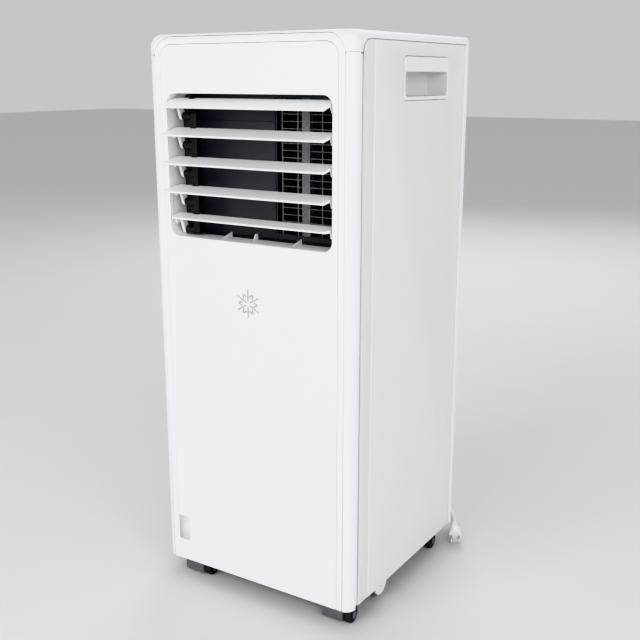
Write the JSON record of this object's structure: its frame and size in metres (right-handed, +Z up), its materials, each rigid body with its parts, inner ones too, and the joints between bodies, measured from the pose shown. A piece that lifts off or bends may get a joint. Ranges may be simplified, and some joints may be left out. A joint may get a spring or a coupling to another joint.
{
  "type": "portable air conditioner",
  "caption": "Upright white portable air conditioner with a tilting louvre outlet in front, side grip pockets, swivel casters, rear filters and exhaust collar.",
  "frame": {"origin": "on the floor below the middle of the cabinet, louvres open", "axes": "+Z up, -Y out of the louvred front, +X to the right seen from the front"},
  "size_m": [0.313, 0.4268, 0.69],
  "materials": {
    "white_shell": "fine textured white ABS",
    "white_front": "satin white ABS",
    "white_blade": "polished white ABS",
    "side_shell": "fine spark-eroded white ABS",
    "panel_black": "smoked glossy acrylic",
    "button_grey": "satin grey plastic",
    "dark_plastic": "matt black polypropylene",
    "link_black": "black acetal",
    "grey_plastic": "dark grey nylon",
    "guard_wire": "grey coated wire",
    "filter_net": "woven nylon net in a plastic frame",
    "wheel_rubber": "black soft tread",
    "board_green": "solder-masked circuit board",
    "motor_steel": "zinc plated steel",
    "fin_aluminium": "bare aluminium fins and copper bends",
    "compressor_paint": "black baked enamel",
    "copper": "drawn copper",
    "soft_white": "white thermoplastic rubber",
    "soft_grey": "grey thermoplastic rubber",
    "cord_white": "white PVC sheath",
    "screw_zinc": "zinc plated cross-head screws",
    "tray_white": "light grey polystyrene"
  },
  "bodies": {
    "cabinet": {"front_panel": "white_front", "front_bezel": "white_front", "louvre_frame": "white_shell", "corner_trim_left": "white_shell", "corner_trim_right": "white_shell", "top_cover": "white_shell", "control_panel": "panel_black", "control_board": "board_green", "side_panel_left": "side_shell", "side_panel_right": "side_shell", "grip_left": "side_shell", "grip_right": "side_shell", "rear_panel": "white_shell", "exhaust_collar": "white_shell", "base_pan": "grey_plastic", "louvre_motor": "motor_steel", "air_duct": "dark_plastic", "outlet_guard": "guard_wire", "middle_deck": "tray_white", "evaporator": "fin_aluminium", "blower_housing": "grey_plastic", "blower_motor": "motor_steel", "condenser": "fin_aluminium", "condenser_blower_housing": "grey_plastic", "condenser_blower_motor": "motor_steel", "compressor": "compressor_paint", "refrigerant_pipes": "copper", "casing_screws": "screw_zinc", "cord_gland": "cord_white", "cord_lead": "cord_white", "cord_coil": "cord_white", "cord_tail": "cord_white", "plug": "cord_white"},
    "button_power": {"button_power": "button_grey"},
    "button_mode": {"button_mode": "button_grey"},
    "button_down": {"button_down": "button_grey"},
    "button_up": {"button_up": "button_grey"},
    "button_fan": {"button_fan": "button_grey"},
    "upper_filter": {"upper_filter_cover": "white_shell", "upper_filter_mesh": "filter_net"},
    "lower_filter": {"lower_filter_cover": "white_shell", "lower_filter_mesh": "filter_net"},
    "swivel_front_left": {"caster_hood_front_left": "grey_plastic"},
    "wheel_front_left": {"caster_wheel_front_left": "wheel_rubber"},
    "swivel_front_right": {"caster_hood_front_right": "grey_plastic"},
    "wheel_front_right": {"caster_wheel_front_right": "wheel_rubber"},
    "swivel_rear_left": {"caster_hood_rear_left": "grey_plastic"},
    "wheel_rear_left": {"caster_wheel_rear_left": "wheel_rubber"},
    "swivel_rear_right": {"caster_hood_rear_right": "grey_plastic"},
    "wheel_rear_right": {"caster_wheel_rear_right": "wheel_rubber"},
    "blade_1": {"blade_1": "white_blade"},
    "blade_2": {"blade_2": "white_blade"},
    "blade_3": {"blade_3": "white_blade"},
    "blade_4": {"blade_4": "white_blade"},
    "blade_5": {"blade_5": "white_blade"},
    "louvre_link": {"louvre_link": "link_black"},
    "drain_plug": {"drain_plug_tab": "soft_white"},
    "drain_cap": {"rear_drain_cap": "soft_grey"},
    "blower": {"blower_wheel": "dark_plastic"},
    "condenser_blower": {"condenser_blower_wheel": "dark_plastic"}
  },
  "joints": [
    {"name": "blade_1_tilt", "type": "hinge", "parent": "cabinet", "child": "blade_1", "pos_m": [0, -0.135, 0.6074], "axis": [1, 0, 0], "range_deg": [0, 71]},
    {"name": "blade_2_tilt", "type": "hinge", "parent": "cabinet", "child": "blade_2", "pos_m": [0, -0.135, 0.5737], "axis": [1, 0, 0], "range_deg": [0, 71]},
    {"name": "blade_3_tilt", "type": "hinge", "parent": "cabinet", "child": "blade_3", "pos_m": [0, -0.135, 0.54], "axis": [1, 0, 0], "range_deg": [0, 71]},
    {"name": "blade_4_tilt", "type": "hinge", "parent": "cabinet", "child": "blade_4", "pos_m": [0, -0.135, 0.5063], "axis": [1, 0, 0], "range_deg": [0, 71]},
    {"name": "blade_5_tilt", "type": "hinge", "parent": "cabinet", "child": "blade_5", "pos_m": [0, -0.135, 0.4726], "axis": [1, 0, 0], "range_deg": [0, 71]},
    {"name": "link_swing", "type": "hinge", "parent": "blade_1", "child": "louvre_link", "pos_m": [0, -0.126, 0.5969], "axis": [1, 0, 0], "range_deg": [-71, 0]},
    {"name": "swivel_front_left_turn", "type": "hinge", "parent": "cabinet", "child": "swivel_front_left", "pos_m": [-0.107, -0.11, 0], "axis": [0, 0, 1], "continuous": true},
    {"name": "wheel_front_left_roll", "type": "hinge", "parent": "swivel_front_left", "child": "wheel_front_left", "pos_m": [-0.107, -0.125, 0.0108], "axis": [1, 0, 0], "continuous": true},
    {"name": "swivel_front_right_turn", "type": "hinge", "parent": "cabinet", "child": "swivel_front_right", "pos_m": [0.107, -0.11, 0], "axis": [0, 0, 1], "continuous": true},
    {"name": "wheel_front_right_roll", "type": "hinge", "parent": "swivel_front_right", "child": "wheel_front_right", "pos_m": [0.107, -0.125, 0.0108], "axis": [1, 0, 0], "continuous": true},
    {"name": "swivel_rear_left_turn", "type": "hinge", "parent": "cabinet", "child": "swivel_rear_left", "pos_m": [-0.107, 0.11, 0], "axis": [0, 0, 1], "continuous": true},
    {"name": "wheel_rear_left_roll", "type": "hinge", "parent": "swivel_rear_left", "child": "wheel_rear_left", "pos_m": [-0.107, 0.095, 0.0108], "axis": [1, 0, 0], "continuous": true},
    {"name": "swivel_rear_right_turn", "type": "hinge", "parent": "cabinet", "child": "swivel_rear_right", "pos_m": [0.107, 0.11, 0], "axis": [0, 0, 1], "continuous": true},
    {"name": "wheel_rear_right_roll", "type": "hinge", "parent": "swivel_rear_right", "child": "wheel_rear_right", "pos_m": [0.107, 0.095, 0.0108], "axis": [1, 0, 0], "continuous": true},
    {"name": "button_power_press", "type": "slide", "parent": "cabinet", "child": "button_power", "axis": [0, 0, -1], "range_m": [0, 0.0014], "stiffness_N_per_m": 600},
    {"name": "button_mode_press", "type": "slide", "parent": "cabinet", "child": "button_mode", "axis": [0, 0, -1], "range_m": [0, 0.0014], "stiffness_N_per_m": 600},
    {"name": "button_down_press", "type": "slide", "parent": "cabinet", "child": "button_down", "axis": [0, 0, -1], "range_m": [0, 0.0014], "stiffness_N_per_m": 600},
    {"name": "button_up_press", "type": "slide", "parent": "cabinet", "child": "button_up", "axis": [0, 0, -1], "range_m": [0, 0.0014], "stiffness_N_per_m": 600},
    {"name": "button_fan_press", "type": "slide", "parent": "cabinet", "child": "button_fan", "axis": [0, 0, -1], "range_m": [0, 0.0014], "stiffness_N_per_m": 600},
    {"name": "upper_filter_pull", "type": "slide", "parent": "cabinet", "child": "upper_filter", "axis": [0, 1, 0], "range_m": [0, 0.12]},
    {"name": "lower_filter_pull", "type": "slide", "parent": "cabinet", "child": "lower_filter", "axis": [0, 1, 0], "range_m": [0, 0.12]},
    {"name": "drain_plug_pull", "type": "slide", "parent": "cabinet", "child": "drain_plug", "axis": [1, 0, 0], "range_m": [0, 0.03]},
    {"name": "drain_cap_pull", "type": "slide", "parent": "cabinet", "child": "drain_cap", "axis": [0, 1, 0], "range_m": [0, 0.03]},
    {"name": "blower_spin", "type": "hinge", "parent": "cabinet", "child": "blower", "pos_m": [-0.022, 0, 0.54], "axis": [0, 1, 0], "continuous": true},
    {"name": "condenser_blower_spin", "type": "hinge", "parent": "cabinet", "child": "condenser_blower", "pos_m": [0, 0, 0.322], "axis": [0, 1, 0], "continuous": true}
  ],
  "couplings": [
    {"joint": "blade_2_tilt", "follows": "blade_1_tilt", "ratio": 1},
    {"joint": "blade_3_tilt", "follows": "blade_1_tilt", "ratio": 1},
    {"joint": "blade_4_tilt", "follows": "blade_1_tilt", "ratio": 1},
    {"joint": "blade_5_tilt", "follows": "blade_1_tilt", "ratio": 1},
    {"joint": "link_swing", "follows": "blade_1_tilt", "ratio": -1}
  ]
}
